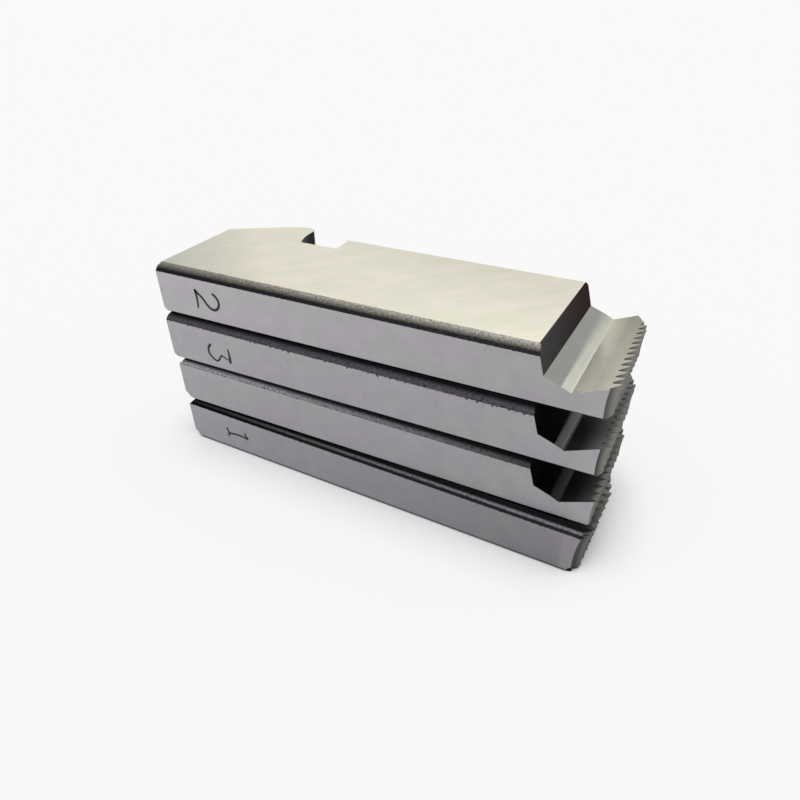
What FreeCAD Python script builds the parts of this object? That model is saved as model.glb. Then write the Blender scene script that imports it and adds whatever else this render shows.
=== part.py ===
import FreeCAD, Part
import math
import os
import Sketcher

# Four die chasers for a pipe-threading die head, stacked flat on each other.
# Each bar has its tail at x = 0 and its threads at the far end of +X, its numbered face at y = 0
# and its cam notch in the opposite face, and lies on z = 0 before it is stacked.

driving = {
    # bar stock
    "bar_width": 32.0,
    "bar_thickness": 10.0,
    "long_chamfer": 1.55,        # numbered side, top edge
    "back_chamfer": 0.9,         # notched side, top edge
    "edge_break": 0.25,          # deburred edges of the outline
    # thread end, seen from the side
    "tail_to_edge": 93.25,       # tail to cutting edge, at the numbered face
    "plain_tail_to_end": 92.85,  # the same on the bar with no chip space
    "edge_height": 6.14,
    "land_length": 7.1,
    "land_rise": 2.84,
    "relief_length": 1.8,
    "relief_drop": 0.8,
    "ramp_length": 3.05,
    "ramp_drop": 1.1,
    "step_run": 1.45,
    "heel_break": 0.8,
    "corner_break": 1.3,         # numbered side of the plain bar's thread end
    # thread of 1 1/2 inch pipe, 11 1/2 threads per inch
    "pipe_radius": 24.13,
    "pipe_axis_height": 2.5,
    "thread_pitch": 2.209,
    "thread_depth": 1.45,
    "thread_start": 0.25,        # numbered face to the middle of bar 2's first tooth space
    "root_flat": 0.4,
    "flank_angle": 30.0,
    # tail and cam notch, seen from above
    "tail_lean": 2.8,            # far end of the tail edge beyond its near end
    "bevel_start": 24.6,         # where the tail edge turns into the bevel
    "bevel_run": 9.0,
    "bevel_rise": 6.4,
    "hook_rise": 2.8,            # top of the hook beyond the notched face
    "hook_radius": 15.0,
    "hook_tip": 13.6,            # tail to where the hook's tip rounds off
    "tip_run": 2.3,
    "tip_fall": 2.5,
    "tip_radius": 2.6,
    "notch_depth": 7.0,
    "notch_left": 17.9,          # tail to the notch's two walls at its floor
    "notch_right": 27.0,
    "notch_lean": 0.8,
    "notch_wall_radius": 17.0,
    # the stack: each bar against the top one, its throat, and how far its end is ground back
    "shift_x_2": 0.0,
    "shift_y_2": 0.0,
    "yaw_2": 0.0,
    "tail_chamfer_2": 0.8,
    "throat_width_2": 7.2,
    "throat_run_2": 2.6,
    "end_trim_2": 0.0,
    "shift_x_3": 0.75,
    "shift_y_3": -0.98,
    "yaw_3": -0.33,
    "tail_chamfer_3": 0.8,
    "throat_width_3": 9.6,
    "throat_run_3": 3.1,
    "end_trim_3": 0.1,
    "shift_x_4": 1.6,
    "shift_y_4": -1.14,
    "yaw_4": -0.89,
    "tail_chamfer_4": 1.6,
    "throat_width_4": 9.8,
    "throat_run_4": 2.7,
    "end_trim_4": 0.9,
    "shift_x_1": 2.02,
    "shift_y_1": -1.38,
    "yaw_1": -2.03,
    "tail_chamfer_1": 1.6,
    "throat_width_1": 18.8,
    "throat_run_1": 5.45,
    "end_trim_1": 0.0,
}
stackOrder = (1, 4, 3, 2)        # numbers of the bars, lowest first
plainBar = 1                     # the bar with no chip space in its end
fullTurn = 360                   # degrees
cutOverrun = 5.0                 # how far a cut runs past the stock
toothOverrun = 0.5               # how far a tooth space starts inside the bore
tolerance = 1e-3


class Measure:
    """A size of the sheet, or what is worked out from such sizes, with its number."""

    def __init__(self, number, formula):
        self.number = number
        self.formula = f"({formula})"

    def joined(self, other, sign, number):
        right = other.formula if isinstance(other, Measure) else other
        return Measure(number, f"{self.formula} {sign} {right}")

    def __add__(self, other):
        return self.joined(other, "+", self.number + numberOf(other))

    def __sub__(self, other):
        return self.joined(other, "-", self.number - numberOf(other))

    def __mul__(self, other):
        return self.joined(other, "*", self.number * numberOf(other))

    def __truediv__(self, other):
        return self.joined(other, "/", self.number / numberOf(other))

    def __neg__(self):
        return Measure(-self.number, f"-{self.formula}")


def numberOf(value):
    return value.number if isinstance(value, Measure) else value


def rootOf(value):
    return Measure(math.sqrt(value.number), f"sqrt({value.formula})")


def tangentOf(degrees):
    return Measure(math.tan(math.radians(degrees.number)), f"tan({degrees.formula} * 1 deg)")


doc = FreeCAD.newDocument("DieChasers")
sheet = doc.addObject("Spreadsheet::Sheet", "sizes")
size = {}
for row, (name, value) in enumerate(driving.items(), start=1):
    sheet.set(f"A{row}", str(value))
    sheet.setAlias(f"A{row}", name)
    size[name] = Measure(value, f"sizes.{name}")
doc.recompute()
zero = Measure(0.0, "0")
halfLength = size["tail_to_edge"].number / 2


def newSketch(body, name, plane):
    sketch = body.newObject("Sketcher::SketchObject", f"{name}_{body.Name}")
    support = next(item for item in body.Origin.OriginFeatures if item.Role == plane)
    sketch.AttachmentSupport = [(support, "")]
    sketch.MapMode = "FlatFace"
    return sketch


def arcBetween(start, end, radius):
    """Arc from start to end; a positive radius bulges to the left of that direction."""
    chord = end - start
    half = chord.Length / 2
    left = FreeCAD.Vector(-chord.y, chord.x, 0).normalize()
    reach = math.sqrt(radius * radius - half * half)
    side = 1 if radius > 0 else -1
    middle = (start + end) * 0.5 + left * side * (abs(radius) - reach)
    return Part.Arc(start, middle, end)


def outline(sketch, points, bulges):
    """Closed outline through points of two measures each; bulges gives some sides a radius."""
    places = [FreeCAD.Vector(x.number, y.number, 0) for x, y in points]
    for index, start in enumerate(places):
        end = places[(index + 1) % len(places)]
        if index not in bulges:
            sketch.addGeometry(Part.LineSegment(start, end))
            continue
        radius, side = bulges[index]
        sketch.addGeometry(arcBetween(start, end, radius.number * side))
    starts, ends = [], []
    for index, start in enumerate(places):
        forwards = (sketch.getPoint(index, 1) - start).Length < tolerance
        starts.append(1 if forwards else 2)
        ends.append(2 if forwards else 1)
    for index, joint in enumerate(ends):
        following = (index + 1) % len(places)
        meeting = Sketcher.Constraint("Coincident", index, joint, following, starts[following])
        sketch.addConstraint(meeting)
    for index, (x, y) in enumerate(points):
        for kind, measure in (("DistanceX", x), ("DistanceY", y)):
            bind(sketch, Sketcher.Constraint(kind, -1, 1, index, starts[index], measure.number), measure)
    for index, (radius, side) in bulges.items():
        bind(sketch, Sketcher.Constraint("Radius", index, radius.number), radius)


def bind(sketch, constraint, measure):
    row = sketch.addConstraint(constraint)
    sketch.setExpression(f"Constraints[{row}]", measure.formula)


def lengthOf(plain):
    return size["plain_tail_to_end"] if plain else size["tail_to_edge"]


def profile(body, plain):
    """Side view of the bar, longer than its thread end, padded over the width of its stock."""
    sketch = newSketch(body, "Profile", "XZ_Plane")
    thickness = size["bar_thickness"]
    tail = -size["tail_lean"] - cutOverrun
    beyond = lengthOf(plain) + cutOverrun
    if plain:
        points = [(beyond, thickness)]
    else:
        landSlope = size["land_rise"] / size["land_length"]
        points = [(beyond, size["edge_height"] + landSlope * cutOverrun)]
        x, z = size["tail_to_edge"] - size["land_length"], size["edge_height"] - size["land_rise"]
        points.append((x, z))
        for run, rise in (("relief_length", "relief_drop"), ("ramp_length", "ramp_drop")):
            x, z = x - size[run], z + size[rise]
            points.append((x, z))
        points.append((x - size["step_run"], thickness))
    points += [(tail, thickness), (tail, zero), (beyond, zero)]
    outline(sketch, points, {})
    pad = body.newObject("PartDesign::Pad", f"Blank_{body.Name}")
    pad.Profile = sketch
    pad.Reversed = True
    pad.setExpression("Length", (size["bar_width"] + size["hook_rise"] + cutOverrun).formula)
    doc.recompute()
    return pad


def backEdge(body, plain):
    """Cut along the tail, the hook, the cam notch and the notched face."""
    width = size["bar_width"]
    sketch = newSketch(body, "BackEdge", "XY_Plane")
    hookTop = width + size["hook_rise"]
    bevelEnd = size["bevel_run"] - size["tail_lean"]
    floor = width - size["notch_depth"]
    outerX = lengthOf(plain) + cutOverrun + cutOverrun
    outerY = hookTop + cutOverrun + cutOverrun
    outerTail = -size["tail_lean"] - cutOverrun - cutOverrun
    points = [
        (zero, zero),
        (-size["tail_lean"], size["bevel_start"]),
        (bevelEnd, size["bevel_start"] + size["bevel_rise"]),
        (size["hook_tip"], hookTop),
        (size["hook_tip"] + size["tip_run"], hookTop - size["tip_fall"]),
        (size["notch_left"], floor),
        (size["notch_right"], floor),
        (size["notch_right"] - size["notch_lean"], width),
        (outerX, width),
        (outerX, outerY),
        (outerTail, outerY),
        (outerTail, zero - cutOverrun),
        (zero, zero - cutOverrun),
    ]
    bulges = {
        2: (size["hook_radius"], 1),
        3: (size["tip_radius"], 1),
        4: (size["notch_wall_radius"], -1),
    }
    outline(sketch, points, bulges)
    pocket = body.newObject("PartDesign::Pocket", f"BackCut_{body.Name}")
    pocket.Profile = sketch
    pocket.Type = "ThroughAll"
    pocket.Reversed = True
    doc.recompute()
    return pocket


def pipeSketch(body, name, number, plain):
    """Sketch whose upright axis is the pipe's own, so that its x is a radius with a minus sign."""
    lift = (size["bar_thickness"] if plain else size["edge_height"]) - size["pipe_axis_height"]
    reach = rootOf(size["pipe_radius"] * size["pipe_radius"] - lift * lift)
    sketch = newSketch(body, name, "XY_Plane")
    sketch.setExpression("AttachmentOffset.Base.x", (lengthOf(plain) - size[f"end_trim_{number}"] + reach).formula)
    sketch.setExpression("AttachmentOffset.Base.z", size["pipe_axis_height"].formula)
    return sketch


def revolved(body, name, sketch):
    groove = body.newObject("PartDesign::Groove", f"{name}_{body.Name}")
    groove.Profile = sketch
    groove.ReferenceAxis = (sketch, ["V_Axis"])
    groove.Angle = fullTurn
    doc.recompute()
    return groove


def bore(body, number, plain):
    """The concave end: the pipe's cylinder, which widens into the throat's cone at the notched side."""
    sketch = pipeSketch(body, "Bore", number, plain)
    throat = size[f"throat_width_{number}"]
    throatSlope = size[f"throat_run_{number}"] / throat
    far = size["bar_width"] + cutOverrun
    points = [
        (zero, zero - cutOverrun),
        (-size["pipe_radius"], zero - cutOverrun),
        (-size["pipe_radius"], size["bar_width"] - throat),
        (-size["pipe_radius"] - throatSlope * (throat + cutOverrun), far),
        (zero, far),
    ]
    outline(sketch, points, {})
    return revolved(body, "BoreCut", sketch)


def edgesOf(feature, test):
    return [f"Edge{index}" for index, edge in enumerate(feature.Shape.Edges, start=1)
            if all(test(vertex.Point) for vertex in edge.Vertexes)]


def chamfer(body, name, base, edges, measure):
    feature = body.newObject("PartDesign::Chamfer", f"{name}_{body.Name}")
    feature.Base = (base, edges)
    feature.setExpression("Size", measure.formula)
    doc.recompute()
    return feature


def chamferEdges(body, base, number, plain):
    """Chamfers on the tail, long top edges, heel and the plain bar's corner, then the deburred edges."""
    width, thickness = size["bar_width"].number, size["bar_thickness"].number
    tailReach = size["bevel_start"].number + tolerance
    edges = edgesOf(base, lambda p: p.x < tolerance and p.y < tailReach and p.z > thickness - tolerance)
    edges += edgesOf(base, lambda p: p.x < tolerance and p.y < tailReach and p.z < tolerance)
    base = chamfer(body, "TailChamfer", base, edges, size[f"tail_chamfer_{number}"])
    for name, side, measure in (("LongChamfer", 0, "long_chamfer"), ("BackChamfer", width, "back_chamfer")):
        edges = edgesOf(base, lambda p: abs(p.y - side) < tolerance and abs(p.z - thickness) < tolerance)
        base = chamfer(body, name, base, edges, size[measure])
    heel = edgesOf(base, lambda p: p.x > halfLength and p.z < tolerance)
    base = chamfer(body, "HeelBreak", base, heel, size["heel_break"])
    if plain:
        corner = edgesOf(base, lambda p: p.x > halfLength and abs(p.y) < tolerance)
        base = chamfer(body, "CornerBreak", base, corner, size["corner_break"])
    sharp = edgesOf(base, lambda p: abs(p.y) < tolerance and abs(p.z) < tolerance)
    sharp += edgesOf(base, lambda p: abs(p.y - width) < tolerance and abs(p.z) < tolerance)
    if not plain:
        sharp += edgesOf(base, lambda p: p.x > halfLength and abs(p.z - thickness) < tolerance)
    return chamfer(body, "EdgeBreak", base, sharp, size["edge_break"])


def threads(body, number, plain):
    """Ring grooves about the pipe's axis, a pitch apart; from bar to bar they move by a share of it."""
    sketch = pipeSketch(body, "ToothSpace", number, plain)
    first = size["thread_start"] + size["thread_pitch"] * (stackOrder[-1] - number) / len(stackOrder)
    halfRoot = size["root_flat"] / 2
    spread = tangentOf(size["flank_angle"]) * (size["thread_depth"] + toothOverrun)
    root = -size["pipe_radius"] - size["thread_depth"]
    mouth = -size["pipe_radius"] + toothOverrun
    outline(sketch, [
        (root, first - halfRoot),
        (mouth, first - halfRoot - spread),
        (mouth, first + halfRoot + spread),
        (root, first + halfRoot),
    ], {})
    groove = revolved(body, "ToothGroove", sketch)
    count = math.floor((size["bar_width"] - first).number / size["thread_pitch"].number) + 1
    pattern = body.newObject("PartDesign::LinearPattern", f"Threads_{body.Name}")
    pattern.Originals = [groove]
    pattern.Direction = (sketch, ["V_Axis"])
    pattern.setExpression("Length", (size["thread_pitch"] * (count - 1)).formula)
    pattern.Occurrences = count
    body.Tip = pattern
    doc.recompute()
    return pattern


def chaser(number):
    plain = number == plainBar
    body = doc.addObject("PartDesign::Body", f"Chaser{number}")
    body.Label = f"chaser_{number}"
    blank = profile(body, plain)
    cut = backEdge(body, plain)
    bored = bore(body, number, plain)
    chamfered = chamferEdges(body, bored, number, plain)
    threaded = threads(body, number, plain)
    volumes = [feature.Shape.Volume for feature in (blank, cut, bored, chamfered, threaded)]
    print(body.Label, "volume after each stage", [round(volume) for volume in volumes])
    if any(after >= before for before, after in zip(volumes, volumes[1:])):
        raise RuntimeError(f"a cut of {body.Label} removed nothing")
    return body


def stack(bars, middle):
    """Each bar on the one below, as it lies there, about the middle of the whole stack."""
    for level, (number, body) in enumerate(zip(stackOrder, bars)):
        body.Placement = FreeCAD.Placement(FreeCAD.Vector(), FreeCAD.Rotation(FreeCAD.Vector(0, 0, 1), 1))
        body.setExpression("Placement.Base.x", f"sizes.shift_x_{number} - {middle.x}")
        body.setExpression("Placement.Base.y", f"sizes.shift_y_{number} - {middle.y}")
        body.setExpression("Placement.Base.z", f"{level} * sizes.bar_thickness")
        body.setExpression("Placement.Rotation.Angle", f"sizes.yaw_{number}")
    doc.recompute()


bars = [chaser(number) for number in stackOrder]
stack(bars, FreeCAD.Vector())
middle = Part.makeCompound([body.Shape for body in bars]).optimalBoundingBox(False).Center
stack(bars, middle)
print("middle of the stack in the top bar's own frame", middle)
for item in doc.Objects:
    if "Invalid" in item.State or "Error" in item.State:
        raise RuntimeError(f"{item.Name} did not recompute: {item.State}")
    if item.TypeId == "Sketcher::SketchObject" and not item.FullyConstrained:
        print(item.Name, "is not fully constrained")
os.makedirs("parts", exist_ok=True)
for body in bars:
    shape = body.Shape
    if shape.isNull() or not shape.isValid():
        raise RuntimeError(f"{body.Label} has no valid shape")
    shape.exportStep(f"parts/{body.Label}.step")
    print(body.Label, round(shape.Volume), "mm3", shape.optimalBoundingBox(False))
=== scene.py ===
import math

import bpy
import numpy as np
from mathutils import Matrix, Vector


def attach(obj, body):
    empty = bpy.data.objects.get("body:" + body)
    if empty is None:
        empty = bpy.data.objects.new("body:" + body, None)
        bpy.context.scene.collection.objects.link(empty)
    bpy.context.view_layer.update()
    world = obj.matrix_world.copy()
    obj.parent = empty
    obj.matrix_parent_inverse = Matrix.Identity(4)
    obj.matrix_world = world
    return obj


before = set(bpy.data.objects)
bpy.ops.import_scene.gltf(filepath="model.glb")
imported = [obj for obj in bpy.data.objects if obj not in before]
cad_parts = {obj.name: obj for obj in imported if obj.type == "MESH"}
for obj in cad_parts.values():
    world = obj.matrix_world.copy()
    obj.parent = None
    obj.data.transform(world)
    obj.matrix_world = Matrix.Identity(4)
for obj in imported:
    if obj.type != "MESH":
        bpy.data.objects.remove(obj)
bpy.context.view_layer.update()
print("frame loaded:", sorted(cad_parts))

millimetre = 0.001


# Linear colour of an sRGB hex value: each channel through the sRGB curve.
def linear(code):
    shares = np.array([int(code[i:i + 2], 16) for i in (1, 3, 5)]) / 255
    straight = np.where(shares <= 0.04045, shares / 12.92, ((shares + 0.055) / 1.055) ** 2.4)
    return (*straight.tolist(), 1.0)


# A node of that kind. An input is given a value, or another node's output to be linked to.
def addNode(tree, kind, inputs=None, **properties):
    node = tree.nodes.new(kind)
    for name, value in properties.items():
        setattr(node, name, value)
    for name, value in (inputs or {}).items():
        if isinstance(value, bpy.types.NodeSocket):
            tree.links.new(value, node.inputs[name])
        else:
            node.inputs[name].default_value = value
    return node


# Sum, product or the like of two numbers.
def reckon(tree, operation, first, second=0.0):
    return addNode(tree, "ShaderNodeMath", {0: first, 1: second}, operation=operation).outputs[0]


# 0 at the first limit and before it, 1 at the second and past it, straight in between.
def above(tree, value, low, high):
    return addNode(tree, "ShaderNodeMapRange", {"Value": value, "From Min": low, "From Max": high}).outputs[0]


# First colour where the share is 0, second where it is 1.
def blend(tree, share, first, second):
    return addNode(tree, "ShaderNodeMix", {0: share, 6: first, 7: second}, data_type="RGBA").outputs[2]


# First number where the share is 0, second where it is 1.
def between(tree, share, first, second):
    return addNode(tree, "ShaderNodeMix", {0: share, 2: first, 3: second}, data_type="FLOAT").outputs[0]


# The colour times a brightness that runs with the pattern from 1 - contrast to the top, or to 1 + contrast.
def shade(tree, colour, pattern, contrast, top=None):
    brightness = between(tree, pattern, 1 - contrast, top or 1 + contrast)
    scaled = addNode(tree, "ShaderNodeVectorMath", {0: colour, "Scale": brightness}, operation="SCALE")
    return scaled.outputs[0]


# Cloudy pattern between 0 and 1 about 0.5, its spots so many millimetres along each axis, turned by degrees.
def clouds(tree, vector, spots, detail=2.0, turn=(0.0, 0.0, 0.0)):
    turned = addNode(tree, "ShaderNodeMapping", {
        "Vector": vector, "Rotation": [math.radians(angle) for angle in turn]}).outputs[0]
    scaled = addNode(tree, "ShaderNodeVectorMath", {
        0: turned, 1: [1 / spot for spot in spots]}, operation="MULTIPLY").outputs[0]
    return addNode(tree, "ShaderNodeTexNoise", {
        "Vector": scaled, "Scale": 1.0, "Detail": detail, "Roughness": 0.6}).outputs["Fac"]


# The top bar's own frame begins at its tail's near corner, which lies off the lowest x by the tail's lean.
tailLean = 2.8
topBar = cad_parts["chaser_2"]
lowest = np.min([topBar.matrix_world @ vertex.co for vertex in topBar.data.vertices], axis=0) / millimetre
origin = (lowest[0] + tailLean, lowest[1])

# The camera of the photograph, in millimetres and degrees of that frame, its height above the floor.
camera = {
    "place": (100.92, -85.23, 82.45),
    "azimuth": 25.08,
    "elevation": 35.96,
    "roll": 1.19,
    "lens": 27.466,
    "sensor": 36.0,
    "shiftX": -0.0328,
    "shiftY": 0.0615,
}


# Back axis from azimuth and elevation, right axis level, both turned by the roll about the view.
def makeCamera(facts):
    azimuth, elevation, roll = (math.radians(facts[name]) for name in ("azimuth", "elevation", "roll"))
    back = Vector((math.sin(azimuth) * math.cos(elevation), -math.cos(azimuth) * math.cos(elevation),
                   math.sin(elevation)))
    right = Vector((math.cos(azimuth), math.sin(azimuth), 0))
    up = back.cross(right)
    turnedRight = math.cos(roll) * right + math.sin(roll) * up
    turnedUp = math.cos(roll) * up - math.sin(roll) * right
    data = bpy.data.cameras.new("photoView")
    data.lens = facts["lens"]
    data.sensor_width = facts["sensor"]
    data.shift_x = facts["shiftX"]
    data.shift_y = facts["shiftY"]
    data.clip_start = 0.005
    data.clip_end = 20
    item = bpy.data.objects.new("photoView", data)
    bpy.context.scene.collection.objects.link(item)
    axes = Matrix((turnedRight, turnedUp, back)).transposed().to_4x4()
    x, y, height = facts["place"]
    item.matrix_world = Matrix.Translation(Vector((x + origin[0], y + origin[1], height)) * millimetre) @ axes
    bpy.context.scene.camera = item


makeCamera(camera)
print("camera placed")

# Where each bar's own frame lies against the top bar's: its tail corner and turn, in millimetres and
# degrees. The axis of the pipe that its teeth fit lies along y, at that x of its own frame and a height
# that they all share.
thickness = 10.0
pipeRadius = 24.13
pipeHeight = 2.5
bars = {
    "chaser_1": {"level": 0, "shift": (2.02, -1.38), "yaw": -2.03, "pipeX": 115.79},
    "chaser_4": {"level": 1, "shift": (1.6, -1.14), "yaw": -0.89, "pipeX": 116.20},
    "chaser_3": {"level": 2, "shift": (0.75, -0.98), "yaw": -0.33, "pipeX": 117.00},
    "chaser_2": {"level": 3, "shift": (0.0, 0.0), "yaw": 0.0, "pipeX": 117.10},
}


# The bar's own origin, in millimetres of the stack.
def corner(bar):
    return (bar["shift"][0] + origin[0], bar["shift"][1] + origin[1], bar["level"] * thickness)


# Where one finish gives way to the next, in millimetres of the bar's own frame: x, if nothing else is said.
borders = {
    "width": 32.0,
    "chamfer": 1.55,      # height of the near top edge's chamfer
    "stepTop": 79.85,     # where the chip space begins
    "stepFoot": 81.3,
    "rampFoot": 84.35,
    "line": 85.85,
    "groove": 86.15,      # lowest line of the chip space, where the land begins
    "highlightStrip": 3.5,        # strip of the land beside the groove where a painted highlight makes it brighter
    "threads": 88.0,
    "end": 93.25,
}
# How nearly a face looks along an axis: where it starts to count as square to it, and where it is in full.
squareOn = (0.97, 0.99)

# Surface-ground tool steel: satin and pale, with faint slanted grinding marks and smudges, and painted shade
# at two corners.
wideGround = {
    "pale": "#F1EADA",
    "green": "#E7E6D3",
    "shadedTone": "#C8C9BC",
    "roughness": 0.38,
    "marks": (0.35, 6.0, 1.0),      # real marks are 0.05 mm wide, drawn coarser to show at all
    "marksTurn": 43.0,
    "markContrast": 0.10,
    "smudges": (4.0, 12.0, 5.0),
    "smudgeShare": (0.35, 0.65),
    "shadedCorner": (32.0, 4.0),      # x + y where the painted shade of the tail's near corner starts, and where it is in full
    "farShading": 0.13,
    "farSlant": 0.5,
    "farReach": (62.0, 38.0),       # slant times x, plus y, where the far corner's painted shade is in full, and where there is none
}
# Side-ground steel: neutral and, as painted shade, a little darker than the wide faces, with cloudy spots and
# a few slanted scratches.
sideGround = {
    "roughness": 0.36,
    "spots": (4.0, 4.0, 3.0),
    "spotContrast": 0.10,
    "scratches": (0.5, 1.0, 6.0),
    "scratchTurn": -22.0,
    "scratchDepth": 0.10,
    "scratchShare": (0.78, 0.66),
    "blotches": (14.0, 14.0, 6.0),
    "blotchShare": (0.4, 0.6),
    "tints": ("#F9FDF8", "#FDF9FD"),
    "bottomShade": "#4C4B4D",              # painted shadow along the edge that stands on the floor
}
# Black scale left from hardening: rough, matt, brown in places, with specks of bare steel.
hardScale = {
    "dark": "#1A191B",
    "brown": "#2E2320",
    "speck": "#55524F",
    "roughness": 0.5,
    "stepRoughness": 0.85,
    "edgeTint": "#DADADA",        # scale stays dark where it is seen at a slant
    "brownShare": (0.45, 0.6),
    "grain": (0.35, 0.35, 0.35),
    "speckShare": (0.62, 0.8),
    "grainShare": (0.25, 0.75),
    "grainContrast": 0.75,
    "flakes": (0.7, 0.7, 0.7),
    "flakeReach": 6.0,            # how far the flakes carry the scale's edge, times the bar's wander
    "edgeSoftness": 0.06,
    "edgeOverlap": 0.05,
    "nearwards": (0.0, -0.1),
}
# Chip space: the parts' borders, how much softer each is a millimetre further back, and its faces.
chipSpace = {
    "borders": (("stepFoot", "ramp", 0.0), ("rampFoot", "foot", 0.03), ("line", "line", 0.005),
                ("groove", "land", 0.005)),
    "softness": 0.05,
    "spotContrast": 0.12,
    "lead": 0.3,                  # how far before the step's top edge its finish starts
    "upwards": (0.25, 0.3),
    "sideways": (0.35, 0.3),
}
# Cut threads: grey crests, with painted shade darkening the roots, under a film of oil and dust that makes
# them matt.
threadCut = {
    "depth": (0.3, 1.2),
    "metallic": 0.35,
    "dust": (88.4, 92.5),         # x where the dust on the land starts, and where it is full
    "upwards": (0.3, 0.25),
}
# What differs between the bars: the side faces from the tail to the threads, their darkening towards the
# threads and on the lower bars painted shade; the chamfer's lower, middle and upper part, the shares of its
# height where each fades into the next, how far its scale wanders over the lower edge and its brightness from
# the tail to the threads, painted light and shade like its light top on the top bar, its middle glint on the
# lowest bar and its dark upper part under the bar above; the y from which the wide face keeps its own colour,
# nearer than that painted dark as shade between the bars; the chip space's parts from near to far, with
# painted shade; how much brighter its land is beside the groove, a painted highlight, and how dusty at the
# edge; the threads' crests and roots, the roots and the lower bars' crests darkened by painted shade; a
# painted shadow line up to that height along the foot of the side faces.
looks = {
    "chaser_2": {
        "side": ("#AEACAF", "#9E9C9F"),
        # upper part light as a painted highlight
        "chamfer": ("#1E1D1E", "#1E1D1E", "#8A887F"),
        "fades": ((0.1, 0.2), (0.3, 1.0)),
        "wander": 0.1,
        "paintedLightTrend": (0.65, 1.25),
        "unshadedFrom": -1.0,
        "step": ("#504F52", "#2A0A07"),
        "ramp": ("#797A76", "#848580"),
        "foot": ("#A8A89E", "#A7A79D"),
        "line": ("#AFAFA6", "#B4B4AA"),
        "land": ("#C8C7B7", "#9A9889"),
        "lift": 1.8,
        "dusty": 0.0,
        "crest": "#807E78",
        "root": "#55534E",
        "bottomShade": 0.0,
    },
    "chaser_3": {
        "side": ("#A5A4A7", "#9C9B9F"),
        "chamfer": ("#3A383C", "#3A383C", "#0C0B0D"),
        "fades": ((0.1, 0.2), (0.35, 0.7)),
        "wander": 0.4,
        "paintedLightTrend": (1.0, 1.0),
        "unshadedFrom": 3.0,
        "step": ("#030203", "#020102"),
        "ramp": ("#030203", "#020102"),
        "foot": ("#8B8B90", "#8B8B90"),
        "line": ("#4C4B50", "#4C4B50"),
        "land": ("#7A7878", "#8A8888"),
        "lift": 1.0,
        "dusty": 1.0,
        "crest": "#7C7A75",
        "root": "#2E2C29",
        "bottomShade": 0.0,
    },
    "chaser_4": {
        "side": ("#A5A4A7", "#9B9A9E"),
        "chamfer": ("#565659", "#565659", "#161517"),
        "fades": ((0.1, 0.2), (0.25, 0.55)),
        "wander": 0.2,
        "paintedLightTrend": (2.0, 0.05),
        "unshadedFrom": 3.0,
        "step": ("#030203", "#020102"),
        "ramp": ("#030203", "#020102"),
        "foot": ("#3A393E", "#3A393E"),
        "line": ("#2A292E", "#2A292E"),
        "land": ("#626065", "#8A888D"),
        "lift": 1.0,
        "dusty": 0.8,
        "crest": "#74726D",
        "root": "#2E2C29",
        "bottomShade": 0.0,
    },
    "chaser_1": {
        "side": ("#A5A4A9", "#858388"),
        # middle part a painted glint
        "chamfer": ("#1A1A1B", "#545357", "#0E0E0F"),
        "fades": ((0.25, 0.35), (0.45, 0.6)),
        "wander": 0.15,
        "paintedLightTrend": (0.1, 1.4),
        "unshadedFrom": 3.0,
        "step": ("#060506", "#060506"),
        "ramp": ("#060506", "#060506"),
        "foot": ("#060506", "#060506"),
        "line": ("#060506", "#060506"),
        "land": ("#060506", "#BAB8B2"),
        "lift": 1.0,
        "dusty": 1.0,
        "crest": "#64625F",
        "root": "#2A2826",
        "bottomShade": 0.3,
    },
}


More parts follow.
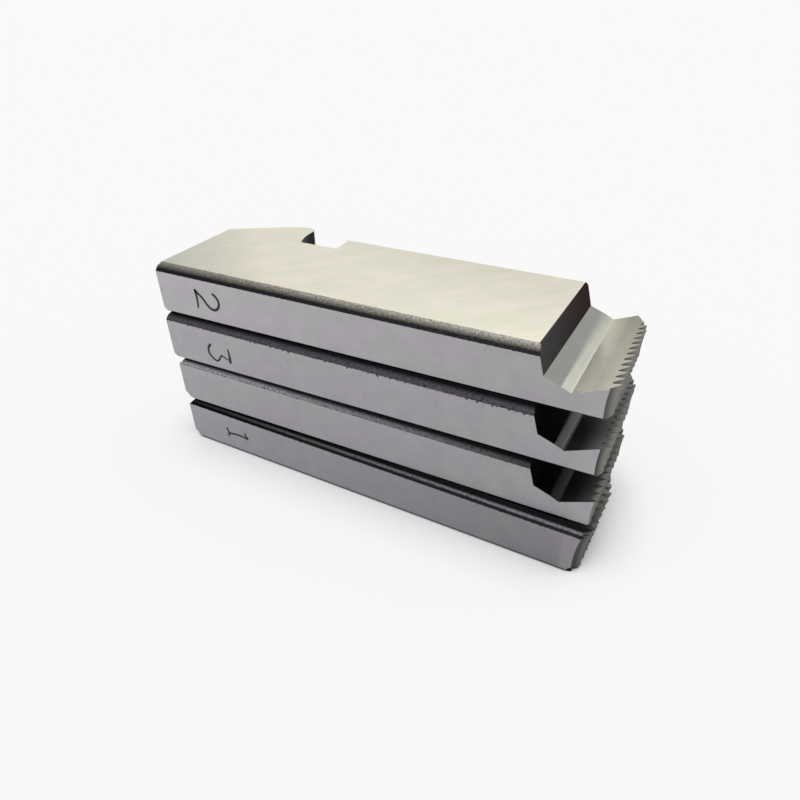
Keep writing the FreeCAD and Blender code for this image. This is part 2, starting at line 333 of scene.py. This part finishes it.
# One metal, whose colour and roughness change with the face's direction and place on the bar.
def chaserSteel(name, bar):
    material = bpy.data.materials.new(f"groundToolSteel{name[-1]}")
    material.use_nodes = True
    tree = material.node_tree
    tree.nodes.clear()
    place = addNode(tree, "ShaderNodeTexCoord")
    own = addNode(tree, "ShaderNodeMapping", {
        "Vector": place.outputs["Object"],
        "Location": [value * millimetre for value in corner(bar)],
        "Rotation": (0, 0, math.radians(bar["yaw"])),
        "Scale": (millimetre,) * 3,
    }, vector_type="TEXTURE").outputs[0]
    x, y, z = addNode(tree, "ShaderNodeSeparateXYZ", {0: own}).outputs
    facing = addNode(tree, "ShaderNodeSeparateXYZ", {0: place.outputs["Normal"]}).outputs
    sideways = reckon(tree, "ABSOLUTE", facing[1])
    look = looks[name]
    isWide = above(tree, reckon(tree, "ABSOLUTE", facing[2]), *squareOn)
    # Nearer than that y the lower bars' wide faces take the dark scale colour, painted shade between the
    # bars.
    isWide = reckon(tree, "MULTIPLY", isWide, reckon(tree, "GREATER_THAN", y, look["unshadedFrom"]))
    isWide = reckon(tree, "MULTIPLY", isWide, reckon(tree, "LESS_THAN", x, borders["threads"]))
    isSide = above(tree, sideways, *squareOn)

    # Wide faces: painted shade darkens them towards the tail's near corner and a little at the far corner.
    slanted = (0.0, 0.0, wideGround["marksTurn"])
    smudge = clouds(tree, own, wideGround["smudges"], 2.0, slanted)
    marks = clouds(tree, own, wideGround["marks"], 3.0, slanted)
    isGreen = above(tree, smudge, *wideGround["smudgeShare"])
    wide = blend(tree, isGreen, linear(wideGround["pale"]), linear(wideGround["green"]))
    isShadedCorner = above(tree, reckon(tree, "ADD", x, y), *wideGround["shadedCorner"])
    wide = blend(tree, isShadedCorner, wide, linear(wideGround["shadedTone"]))
    wide = shade(tree, wide, marks, wideGround["markContrast"])
    far = reckon(tree, "ADD", reckon(tree, "MULTIPLY", x, wideGround["farSlant"]), y)
    wide = shade(tree, wide, above(tree, far, *wideGround["farReach"]), wideGround["farShading"], 1.0)

    # Side faces: darker towards the thread end and on the lower bars as painted shade, tinted in blotches.
    spots = clouds(tree, own, sideGround["spots"])
    scratches = clouds(tree, own, sideGround["scratches"], 1.0, (0.0, sideGround["scratchTurn"], 0.0))
    side = blend(tree, above(tree, x, 0.0, borders["end"]), *(linear(code) for code in look["side"]))
    side = shade(tree, side, spots, sideGround["spotContrast"])
    side = shade(tree, side, above(tree, scratches, *sideGround["scratchShare"]), sideGround["scratchDepth"])
    blotch = above(tree, clouds(tree, own, sideGround["blotches"]), *sideGround["blotchShare"])
    tint = blend(tree, blotch, *(linear(code) for code in sideGround["tints"]))
    side = addNode(tree, "ShaderNodeVectorMath", {0: side, 1: tint}, operation="MULTIPLY").outputs[0]
    # Painted contact shadow: a dark line along the foot of the side faces, up to the bar's given height.
    side = blend(tree, reckon(tree, "LESS_THAN", z, look["bottomShade"]), side, linear(sideGround["bottomShade"]))

    # Scale: dark, brown in clouds, speckled.
    grain = clouds(tree, own, hardScale["grain"], 4.0)
    isBrown = above(tree, smudge, *hardScale["brownShare"])
    scale = blend(tree, isBrown, linear(hardScale["dark"]), linear(hardScale["brown"]))
    scale = blend(tree, above(tree, grain, *hardScale["speckShare"]), scale, linear(hardScale["speck"]))

    # Near chamfer, by the share of its height; its scale wanders over the lower edge. The dark speckled scale
    # is the chamfer's own; its light top on the top bar, middle glint on the lowest bar, dark upper part
    # under the bar above and brightness from the tail to the threads are painted light and shade.
    lowEdge = thickness - borders["chamfer"]
    share = above(tree, z, lowEdge, thickness)
    lower, middle, upper = (linear(code) for code in look["chamfer"])
    band = blend(tree, above(tree, share, *look["fades"][0]), lower, middle)
    band = blend(tree, above(tree, share, *look["fades"][1]), band, upper)
    band = shade(tree, band, above(tree, grain, *hardScale["grainShare"]), hardScale["grainContrast"])
    # Painted light and shade: the chamfer's brightness runs from the tail to the threads.
    band = shade(tree, band, above(tree, x, 0.0, borders["end"]), 1 - look["paintedLightTrend"][0], look["paintedLightTrend"][1])
    wander = reckon(tree, "SUBTRACT", clouds(tree, own, hardScale["flakes"], 3.0), 0.5)
    wander = reckon(tree, "MULTIPLY", wander, hardScale["flakeReach"] * look["wander"])
    rise = reckon(tree, "ADD", reckon(tree, "SUBTRACT", z, lowEdge), wander)
    softness = hardScale["edgeSoftness"]
    isBand = reckon(tree, "MULTIPLY", above(tree, rise, -softness, softness),
                    above(tree, facing[1], *hardScale["nearwards"]))
    nearby = reckon(tree, "LESS_THAN", y, borders["chamfer"] + hardScale["edgeOverlap"])
    isBand = reckon(tree, "MULTIPLY", isBand, nearby)
    isBand = reckon(tree, "MULTIPLY", isBand, reckon(tree, "SUBTRACT", 1.0, isWide))

    # Chip space, from the step to the land; its parts pass into each other more softly at the far side. Its
    # tones carry painted light and shade: the top bar's step darker to the far side, the lower bars' chip
    # spaces near black under the bar above.
    across = above(tree, y, 0.0, borders["width"])
    chip = blend(tree, across, *(linear(code) for code in look["step"]))
    for border, part, growth in chipSpace["borders"]:
        soft = reckon(tree, "ADD", reckon(tree, "MULTIPLY", y, growth), chipSpace["softness"])
        first = reckon(tree, "SUBTRACT", borders[border], soft)
        last = reckon(tree, "ADD", borders[border], soft)
        tone = blend(tree, across, *(linear(code) for code in look[part]))
        chip = blend(tree, above(tree, x, first, last), chip, tone)
    chip = shade(tree, chip, spots, chipSpace["spotContrast"])
    # Painted highlight: the land beside the groove drawn brighter.
    lift = reckon(tree, "MULTIPLY", reckon(tree, "GREATER_THAN", x, borders["groove"]),
                  above(tree, x, borders["groove"] + borders["highlightStrip"], borders["groove"]))
    chip = shade(tree, chip, lift, 0.0, look["lift"])
    isStep = reckon(tree, "LESS_THAN", x, borders["stepFoot"])
    isChip = reckon(tree, "MULTIPLY", above(tree, facing[2], *chipSpace["upwards"]),
                    above(tree, sideways, *chipSpace["sideways"]))
    beyond = reckon(tree, "GREATER_THAN", x, borders["stepTop"] - chipSpace["lead"])
    isChip = reckon(tree, "MULTIPLY", isChip, beyond)

    # Threads, by the depth below their crests: distance from the pipe's axis less the pipe's radius.
    away = [reckon(tree, "SUBTRACT", x, bar["pipeX"]), reckon(tree, "SUBTRACT", z, pipeHeight)]
    squares = [reckon(tree, "MULTIPLY", value, value) for value in away]
    distance = reckon(tree, "SQRT", reckon(tree, "ADD", *squares))
    depth = reckon(tree, "SUBTRACT", distance, pipeRadius)
    isRoot = above(tree, depth, *threadCut["depth"])
    # Painted shade: roots darker than crests, and the lower bars' crests darker than the top bar's.
    thread = blend(tree, isRoot, linear(look["crest"]), linear(look["root"]))
    isThread = reckon(tree, "MULTIPLY", reckon(tree, "GREATER_THAN", x, borders["threads"]),
                      above(tree, facing[2], *threadCut["upwards"]))

    colour = blend(tree, isThread, scale, thread)
    colour = blend(tree, isSide, colour, side)
    colour = blend(tree, isChip, colour, chip)
    colour = blend(tree, isBand, colour, band)
    colour = blend(tree, isWide, colour, wide)
    roughness = between(tree, isWide, sideGround["roughness"], wideGround["roughness"])
    roughness = between(tree, isBand, roughness, hardScale["roughness"])
    roughness = between(tree, reckon(tree, "MULTIPLY", isStep, isChip), roughness, hardScale["stepRoughness"])
    dust = above(tree, x, *threadCut["dust"])
    dust = reckon(tree, "MULTIPLY", isChip, reckon(tree, "MULTIPLY", dust, look["dusty"]))
    metallic = between(tree, reckon(tree, "MAXIMUM", isThread, dust), 1.0, threadCut["metallic"])
    shader = addNode(tree, "ShaderNodeBsdfPrincipled", {
        "Base Color": colour, "Metallic": metallic, "Roughness": roughness,
        "Specular Tint": linear(hardScale["edgeTint"])})
    addNode(tree, "ShaderNodeOutputMaterial", {"Surface": shader.outputs["BSDF"]})
    return material


for name, bar in bars.items():
    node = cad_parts[name]
    node.data.materials.clear()
    node.data.materials.append(chaserSteel(name, bar))
print("bars finished")

# Numerals cut by hand with an electric pencil beside the tail: dark, dull scratches.
# A stroke has its width at its start and end, then places along the bar and above its foot, in millimetres.
# Each numeral's top points to the threads.
etching = {
    "colour": "#1E1A1B",
    "roughness": 0.7,
    "proud": 0.02,
    "sunk": 0.05,
    "pieces": 6,          # of each stretch between two places
    "tip": 0.5,           # share of the width that a stroke keeps at its ends
}
numerals = {
    "chaser_2": [
        ((0.65, 0.4), [(9.6, 6.35), (9.78, 5.4), (9.77, 3.6), (9.6, 2.4)]),
        ((0.55, 0.55), [(9.5, 6.3), (10.3, 5.6), (11.25, 4.8), (12.0, 3.8), (12.85, 3.0), (13.8, 2.75),
                        (14.75, 3.2), (15.3, 4.15), (15.2, 5.0), (14.7, 5.75), (13.95, 6.2)]),
    ],
    "chaser_3": [
        ((0.55, 0.4), [(11.3, 5.45), (10.5, 4.5), (10.35, 3.3), (10.85, 2.5), (11.6, 2.0), (12.25, 1.8),
                       (12.85, 2.25), (13.65, 3.4)]),
        ((0.4, 0.25), [(13.6, 3.45), (14.4, 3.05), (15.7, 2.6)]),
        ((0.35, 0.75), [(15.6, 5.25), (15.8, 4.2), (15.8, 3.0), (15.75, 2.0)]),
    ],
    "chaser_1": [
        ((0.4, 0.45), [(10.4, 5.3), (10.6, 4.4), (10.7, 3.7), (10.5, 2.95)]),
        ((0.5, 0.5), [(10.75, 3.9), (12.3, 4.1), (13.8, 4.2), (15.4, 4.1), (16.3, 3.85)]),
        ((0.35, 0.55), [(15.55, 5.45), (15.7, 4.7), (16.25, 3.95)]),
    ],
}


# Points of a smooth curve through the given ones: on each stretch the Catmull-Rom cubic.
def smoothPath(points, pieces):
    ends = np.array([points[0], *points, points[-1]], dtype=float)
    path = []
    for before, start, end, after in zip(ends, ends[1:], ends[2:], ends[3:]):
        for step in range(pieces):
            share = step / pieces
            path.append(0.5 * (2 * start + (end - before) * share
                               + (2 * before - 5 * start + 4 * end - after) * share ** 2
                               + (3 * start - before - 3 * end + after) * share ** 3))
    return np.array([*path, ends[-1]])


# Closed strip along a path: at each point four corners half a width to either side, narrow at both ends.
def stroke(path, widths):
    along = np.gradient(path, axis=0)
    along /= np.linalg.norm(along, axis=1, keepdims=True)
    across = np.stack([-along[:, 1], along[:, 0]], axis=1)
    halves = np.linspace(*widths, len(path)) / 2
    halves[[0, -1]] *= etching["tip"]
    left, right = path + across * halves[:, None], path - across * halves[:, None]
    rings = [np.stack([side[:, 0], np.full(len(path), depth), side[:, 1]], axis=1)
             for side, depth in ((left, -etching["proud"]), (right, -etching["proud"]),
                                 (right, etching["sunk"]), (left, etching["sunk"]))]
    points = np.stack(rings, axis=1).reshape(-1, 3)
    faces = [(3, 2, 1, 0), tuple(4 * (len(path) - 1) + index for index in range(4))]
    for row in range(len(path) - 1):
        for index in range(4):
            start, following = 4 * row + index, 4 * row + (index + 1) % 4
            faces.append((start, following, following + 4, start + 4))
    return points, faces


# Points of a bar's own frame in metres of the stack: turned by its yaw, then moved to its corner.
def placed(points, bar):
    yaw = math.radians(bar["yaw"])
    turn = np.array([[math.cos(yaw), -math.sin(yaw), 0], [math.sin(yaw), math.cos(yaw), 0], [0, 0, 1]])
    return (points @ turn.T + corner(bar)) * millimetre


def makeNumeral(name, strokes, material):
    points, faces = [], []
    for widths, places in strokes:
        part, sides = stroke(smoothPath(places, etching["pieces"]), widths)
        faces += [tuple(index + len(points) for index in side) for side in sides]
        points += part.tolist()
    mesh = bpy.data.meshes.new(f"numeral{name[-1]}")
    mesh.from_pydata(placed(np.array(points), bars[name]).tolist(), [], faces)
    mesh.materials.append(material)
    piece = bpy.data.objects.new(f"numeral{name[-1]}", mesh)
    bpy.context.scene.collection.objects.link(piece)
    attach(piece, "root")


def etchedMark():
    material = bpy.data.materials.new("etchedMark")
    material.use_nodes = True
    tree = material.node_tree
    tree.nodes.clear()
    shader = addNode(tree, "ShaderNodeBsdfPrincipled", {
        "Base Color": linear(etching["colour"]), "Roughness": etching["roughness"]})
    addNode(tree, "ShaderNodeOutputMaterial", {"Surface": shader.outputs["BSDF"]})
    return material


mark = etchedMark()
for name, strokes in numerals.items():
    makeNumeral(name, strokes, mark)
print("numerals cut:", len(numerals))

# Plain studio: a pale floor, a pale surround and two broad lamps.
studio = {
    "floor": "#F8F8F8",
    "floorHalf": 3.0,
    "shadowLift": 0.85,   # share by which the camera sees the shadows paler
    "closeBy": 0.012,     # less so this close to the bars
    "contactShadow": "#77777A",    # painted contact shadow: a dark line where the lowest bar meets the floor
    "contactShadowWidth": 0.0007,
    "closeShare": (0.5, 1.0),     # openness beside a wall, and out in the clear
    "contactShadowShare": (0.5, 0.75),
    "surround": "#F9F9F9",
    "ambient": 0.55,
    "lamps": {
        "keyLamp": {"azimuth": -35.0, "elevation": 55.0, "spread": 60.0, "strength": 1.1},
        "backLamp": {"azimuth": 150.0, "elevation": 50.0, "spread": 60.0, "strength": 0.7},
    },
}


# A flat square as floor, a world that looks pale but lights less, and sun lamps by azimuth and elevation.
def makeStudio(facts):
    half = facts["floorHalf"]
    mesh = bpy.data.meshes.new("floor")
    corners = [(-half, -half, 0), (half, -half, 0), (half, half, 0), (-half, half, 0)]
    mesh.from_pydata(corners, [], [(0, 1, 2, 3)])
    floor = bpy.data.objects.new("floor", mesh)
    bpy.context.scene.collection.objects.link(floor)
    paper = bpy.data.materials.new("whitePaper")
    paper.use_nodes = True
    paper.node_tree.nodes.clear()
    clear, free = (addNode(paper.node_tree, "ShaderNodeAmbientOcclusion", {"Distance": facts[reach]})
                   for reach in ("closeBy", "contactShadowWidth"))
    # Painted contact shadow: the floor's colour darkens where the lowest bar stands on it.
    isFree = above(paper.node_tree, free.outputs["AO"], *facts["contactShadowShare"])
    tone = blend(paper.node_tree, isFree, linear(facts["contactShadow"]), linear(facts["floor"]))
    matt = addNode(paper.node_tree, "ShaderNodeBsdfDiffuse", {"Color": tone})
    glow = addNode(paper.node_tree, "ShaderNodeEmission", {"Color": linear(facts["surround"])})
    ray = addNode(paper.node_tree, "ShaderNodeLightPath")
    lift = reckon(paper.node_tree, "MULTIPLY", ray.outputs["Is Camera Ray"], facts["shadowLift"])
    isClear = above(paper.node_tree, clear.outputs["AO"], *facts["closeShare"])
    lift = reckon(paper.node_tree, "MULTIPLY", lift, isClear)
    both = addNode(paper.node_tree, "ShaderNodeMixShader", {0: lift, 1: matt.outputs[0], 2: glow.outputs[0]})
    addNode(paper.node_tree, "ShaderNodeOutputMaterial", {"Surface": both.outputs[0]})
    mesh.materials.append(paper)
    world = bpy.data.worlds.new("studio")
    bpy.context.scene.world = world
    world.use_nodes = True
    tree = world.node_tree
    tree.nodes.clear()
    ray = addNode(tree, "ShaderNodeLightPath")
    seen = reckon(tree, "MAXIMUM", ray.outputs["Is Camera Ray"], ray.outputs["Is Glossy Ray"])
    seen = reckon(tree, "MAXIMUM", seen, ray.outputs["Is Transmission Ray"])
    light = addNode(tree, "ShaderNodeBackground", {"Color": (1, 1, 1, 1), "Strength": facts["ambient"]})
    paleness = addNode(tree, "ShaderNodeBackground", {"Color": linear(facts["surround"]), "Strength": 1.0})
    both = addNode(tree, "ShaderNodeMixShader", {0: seen, 1: light.outputs[0], 2: paleness.outputs[0]})
    addNode(tree, "ShaderNodeOutputWorld", {"Surface": both.outputs[0]})
    for name, lamp in facts["lamps"].items():
        data = bpy.data.lights.new(name, "SUN")
        data.energy = lamp["strength"]
        data.angle = math.radians(lamp["spread"])
        item = bpy.data.objects.new(name, data)
        bpy.context.scene.collection.objects.link(item)
        azimuth, elevation = math.radians(lamp["azimuth"]), math.radians(lamp["elevation"])
        towards = Vector((math.sin(azimuth) * math.cos(elevation), -math.cos(azimuth) * math.cos(elevation),
                          math.sin(elevation)))
        item.matrix_world = towards.to_track_quat("Z", "Y").to_matrix().to_4x4()


makeStudio(studio)
bpy.context.scene.view_settings.view_transform = "Standard"
print("studio lit")
